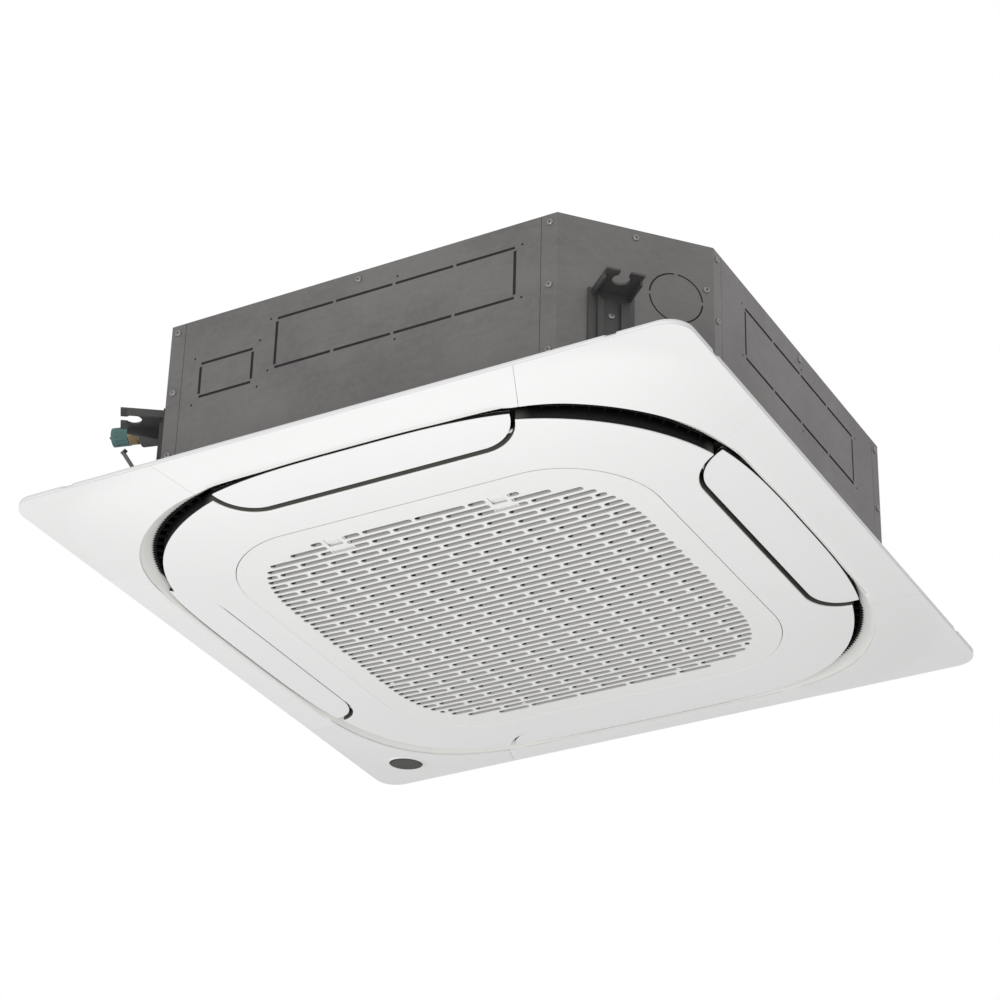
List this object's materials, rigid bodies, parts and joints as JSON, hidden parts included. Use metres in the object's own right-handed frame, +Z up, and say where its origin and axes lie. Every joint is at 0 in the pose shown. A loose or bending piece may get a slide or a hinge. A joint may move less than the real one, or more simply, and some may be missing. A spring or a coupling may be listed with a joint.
{
  "type": "ceiling cassette air conditioner",
  "caption": "Square ceiling cassette air conditioner with a rounded white panel, four tilting air flaps, a drop-down suction grille and a steel body with hanger brackets and pipe stubs.",
  "frame": {"origin": "middle of the four hanger seats, on the underside of the hook plates that rest on the hanger nuts", "axes": "+Z up towards the slab, -Y towards the grille's latches, +X to the right of a person who looks along +Y"},
  "size_m": [0.95, 0.95, 0.2836],
  "materials": {
    "galvanised_sheet": "matt zinc-coated sheet",
    "bracket_steel": "dark painted steel",
    "screw_steel": "plated steel",
    "foam_liner": "dark closed-cell foam",
    "fin_aluminium": "thin fins",
    "copper_tube": "drawn copper tube",
    "brass_fitting": "turned brass",
    "cap_plastic": "soft plastic cap",
    "sleeve_foam": "soft foam and hose",
    "pan_plastic": "moulded foam-backed plastic",
    "dark_rubber": "moulded rubber",
    "dark_plastic": "moulded plastic",
    "fan_plastic": "moulded plastic",
    "board_green": "coated board",
    "panel_white": "satin moulded plastic",
    "filter_plastic": "moulded mesh",
    "window_dark": "smoked plastic"
  },
  "bodies": {
    "casing": {"top_plate": "galvanised_sheet", "front_sheet": "galvanised_sheet", "right_sheet": "galvanised_sheet", "back_sheet": "galvanised_sheet", "left_sheet": "galvanised_sheet", "corner_sheets": "galvanised_sheet", "hanger_brackets": "bracket_steel", "casing_screws": "screw_steel", "insulation": "foam_liner", "coil_fins": "fin_aluminium", "coil_end_plates": "screw_steel", "coil_return_bends": "copper_tube", "gas_pipe": "copper_tube", "liquid_pipe": "copper_tube", "flare_nuts": "brass_fitting", "flare_caps": "cap_plastic", "pipe_sleeves": "sleeve_foam", "pipe_cover": "galvanised_sheet", "drain_pan": "pan_plastic", "pan_plug": "dark_rubber", "pump_body": "pan_plastic", "pump_motor": "dark_plastic", "float_stem": "pan_plastic", "drain_hose": "sleeve_foam", "drain_socket": "pan_plastic", "bell_mouth": "pan_plastic", "motor_case": "screw_steel", "motor_bearings": "screw_steel", "motor_mounts": "dark_rubber", "control_box": "galvanised_sheet", "control_lid": "galvanised_sheet", "circuit_board": "board_green", "terminal_block": "pan_plastic", "panel_frame": "panel_white", "corner_covers": "panel_white", "panel_centre": "panel_white", "flap_motors": "dark_plastic", "outlet_ribs": "dark_plastic", "sensor_window": "window_dark", "panel_seal": "sleeve_foam", "panel_screws": "screw_steel"},
    "fan": {"fan_wheel": "fan_plastic", "fan_shroud": "fan_plastic", "fan_nut": "screw_steel", "motor_rotor": "dark_plastic", "motor_shaft": "screw_steel"},
    "impeller": {"pump_impeller": "dark_plastic"},
    "float": {"pump_float": "dark_plastic"},
    "front_flap": {"flap_front": "panel_white"},
    "right_flap": {"flap_right": "panel_white"},
    "back_flap": {"flap_back": "panel_white"},
    "left_flap": {"flap_left": "panel_white"},
    "hangers": {"grille_hangers": "screw_steel"},
    "grille": {"suction_grille": "panel_white", "filter_frame": "filter_plastic", "filter_mesh": "filter_plastic"},
    "left_latch": {"latch_left": "panel_white"},
    "right_latch": {"latch_right": "panel_white"},
    "left_hook": {"hook_left": "bracket_steel"},
    "right_hook": {"hook_right": "bracket_steel"}
  },
  "joints": [
    {"name": "flap_front_tilt", "type": "hinge", "parent": "casing", "child": "front_flap", "pos_m": [0, -0.366, -0.155], "axis": [1, 0, 0], "range_deg": [0, 45]},
    {"name": "flap_right_tilt", "type": "hinge", "parent": "casing", "child": "right_flap", "pos_m": [0.366, 0, -0.155], "axis": [0, 1, 0], "range_deg": [0, 45]},
    {"name": "flap_back_tilt", "type": "hinge", "parent": "casing", "child": "back_flap", "pos_m": [0, 0.366, -0.155], "axis": [-1, 0, 0], "range_deg": [0, 45]},
    {"name": "flap_left_tilt", "type": "hinge", "parent": "casing", "child": "left_flap", "pos_m": [-0.366, 0, -0.155], "axis": [0, -1, 0], "range_deg": [0, 45]},
    {"name": "grille_drop", "type": "slide", "parent": "casing", "child": "hangers", "axis": [0, 0, -1], "range_m": [0, 0.01]},
    {"name": "grille_swing", "type": "hinge", "parent": "hangers", "child": "grille", "pos_m": [0, 0.295, -0.1695], "axis": [1, 0, 0], "range_deg": [0, 80]},
    {"name": "latch_left_slide", "type": "slide", "parent": "grille", "child": "left_latch", "axis": [0, 1, 0], "range_m": [0, 0.006], "stiffness_N_per_m": 250, "springref_m": -0.001},
    {"name": "latch_right_slide", "type": "slide", "parent": "grille", "child": "right_latch", "axis": [0, 1, 0], "range_m": [0, 0.006], "stiffness_N_per_m": 250, "springref_m": -0.001},
    {"name": "fan_spin", "type": "hinge", "parent": "casing", "child": "fan", "pos_m": [0, 0, 0.015], "axis": [0, 0, 1], "continuous": true},
    {"name": "pump_spin", "type": "hinge", "parent": "casing", "child": "impeller", "pos_m": [-0.255, -0.255, -0.085], "axis": [0, 0, 1], "continuous": true},
    {"name": "float_lift", "type": "slide", "parent": "casing", "child": "float", "axis": [0, 0, 1], "range_m": [0, 0.012]},
    {"name": "hook_left_swing", "type": "hinge", "parent": "casing", "child": "left_hook", "pos_m": [-0.297, -0.441, -0.131], "axis": [0, 1, 0], "range_deg": [-45, 33]},
    {"name": "hook_right_swing", "type": "hinge", "parent": "casing", "child": "right_hook", "pos_m": [0.297, 0.441, -0.131], "axis": [0, -1, 0], "range_deg": [-45, 33]}
  ],
  "couplings": [
    {"joint": "grille_drop", "follows": "grille_swing", "m_per_rad": 0.00716}
  ]
}
